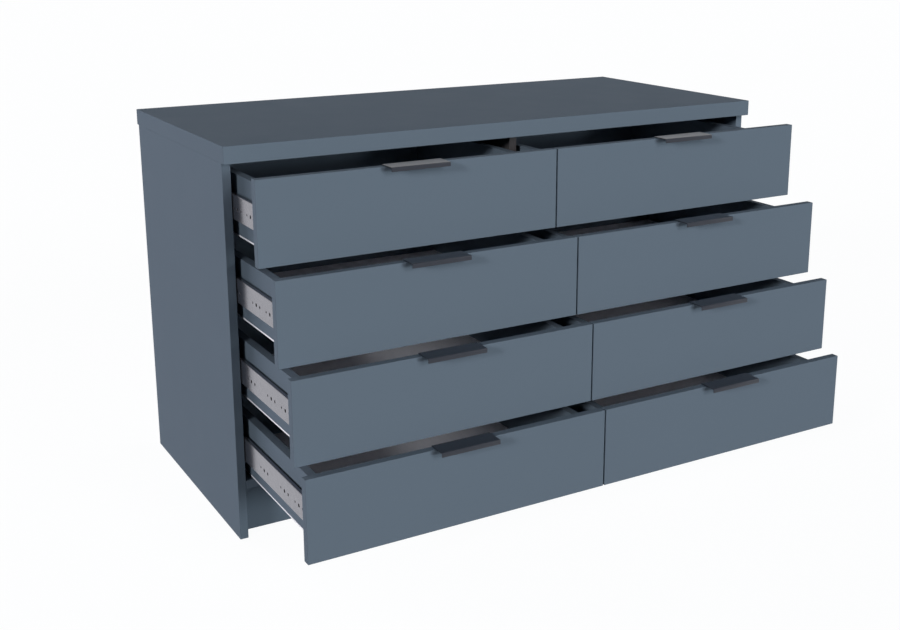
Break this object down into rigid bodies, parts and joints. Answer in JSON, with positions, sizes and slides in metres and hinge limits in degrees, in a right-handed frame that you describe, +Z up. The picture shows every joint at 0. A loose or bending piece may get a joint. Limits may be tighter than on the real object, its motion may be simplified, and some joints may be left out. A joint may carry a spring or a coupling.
{
  "type": "dresser with drawers",
  "caption": "Low double dresser in grey-blue painted board, with two columns of drawers on steel runners and a dark folded edge pull on every front.",
  "frame": {"origin": "centre of the carcase's footprint on the floor, under the centre support", "axes": "+X to the right of someone facing the drawers, +Y to the back (the drawers open towards -Y), +Z up"},
  "size_m": [1.194, 0.873, 0.747],
  "materials": {
    "painted_board": "satin grey-blue paint on particle board",
    "white_sheet": "thin hardboard with a smooth white face",
    "runner_steel": "pressed steel, zinc plated",
    "handle_metal": "dark bronze coating, satin"
  },
  "bodies": {
    "carcase": {"top_panel": "painted_board", "side_panel_left": "painted_board", "side_panel_right": "painted_board", "centre_divider": "painted_board", "bottom_panel": "painted_board", "kick_board": "painted_board", "centre_support": "painted_board", "back_panel": "white_sheet", "rail_set_left": "runner_steel", "rail_set_centre_left": "runner_steel", "rail_set_centre_right": "runner_steel", "rail_set_right": "runner_steel"},
    "drawer_1_left": {"drawer_1_left_front": "painted_board", "drawer_1_left_box": "painted_board", "drawer_1_left_bottom": "white_sheet", "drawer_1_left_runner_left": "runner_steel", "drawer_1_left_runner_right": "runner_steel", "drawer_1_left_handle": "handle_metal"},
    "drawer_1_right": {"drawer_1_right_front": "painted_board", "drawer_1_right_box": "painted_board", "drawer_1_right_bottom": "white_sheet", "drawer_1_right_runner_left": "runner_steel", "drawer_1_right_runner_right": "runner_steel", "drawer_1_right_handle": "handle_metal"},
    "drawer_2_left": {"drawer_2_left_front": "painted_board", "drawer_2_left_box": "painted_board", "drawer_2_left_bottom": "white_sheet", "drawer_2_left_runner_left": "runner_steel", "drawer_2_left_runner_right": "runner_steel", "drawer_2_left_handle": "handle_metal"},
    "drawer_2_right": {"drawer_2_right_front": "painted_board", "drawer_2_right_box": "painted_board", "drawer_2_right_bottom": "white_sheet", "drawer_2_right_runner_left": "runner_steel", "drawer_2_right_runner_right": "runner_steel", "drawer_2_right_handle": "handle_metal"},
    "drawer_3_left": {"drawer_3_left_front": "painted_board", "drawer_3_left_box": "painted_board", "drawer_3_left_bottom": "white_sheet", "drawer_3_left_runner_left": "runner_steel", "drawer_3_left_runner_right": "runner_steel", "drawer_3_left_handle": "handle_metal"},
    "drawer_3_right": {"drawer_3_right_front": "painted_board", "drawer_3_right_box": "painted_board", "drawer_3_right_bottom": "white_sheet", "drawer_3_right_runner_left": "runner_steel", "drawer_3_right_runner_right": "runner_steel", "drawer_3_right_handle": "handle_metal"},
    "drawer_4_left": {"drawer_4_left_front": "painted_board", "drawer_4_left_box": "painted_board", "drawer_4_left_bottom": "white_sheet", "drawer_4_left_runner_left": "runner_steel", "drawer_4_left_runner_right": "runner_steel", "drawer_4_left_handle": "handle_metal"},
    "drawer_4_right": {"drawer_4_right_front": "painted_board", "drawer_4_right_box": "painted_board", "drawer_4_right_bottom": "white_sheet", "drawer_4_right_runner_left": "runner_steel", "drawer_4_right_runner_right": "runner_steel", "drawer_4_right_handle": "handle_metal"}
  },
  "joints": [
    {"name": "drawer_1_left_slide", "type": "slide", "parent": "carcase", "child": "drawer_1_left", "axis": [0, -1, 0], "range_m": [-0.1385, 0.2115]},
    {"name": "drawer_1_right_slide", "type": "slide", "parent": "carcase", "child": "drawer_1_right", "axis": [0, -1, 0], "range_m": [-0.1385, 0.2115]},
    {"name": "drawer_2_left_slide", "type": "slide", "parent": "carcase", "child": "drawer_2_left", "axis": [0, -1, 0], "range_m": [-0.2115, 0.1385]},
    {"name": "drawer_2_right_slide", "type": "slide", "parent": "carcase", "child": "drawer_2_right", "axis": [0, -1, 0], "range_m": [-0.2115, 0.1385]},
    {"name": "drawer_3_left_slide", "type": "slide", "parent": "carcase", "child": "drawer_3_left", "axis": [0, -1, 0], "range_m": [-0.265, 0.085]},
    {"name": "drawer_3_right_slide", "type": "slide", "parent": "carcase", "child": "drawer_3_right", "axis": [0, -1, 0], "range_m": [-0.265, 0.085]},
    {"name": "drawer_4_left_slide", "type": "slide", "parent": "carcase", "child": "drawer_4_left", "axis": [0, -1, 0], "range_m": [-0.31, 0.04]},
    {"name": "drawer_4_right_slide", "type": "slide", "parent": "carcase", "child": "drawer_4_right", "axis": [0, -1, 0], "range_m": [-0.31, 0.04]}
  ]
}
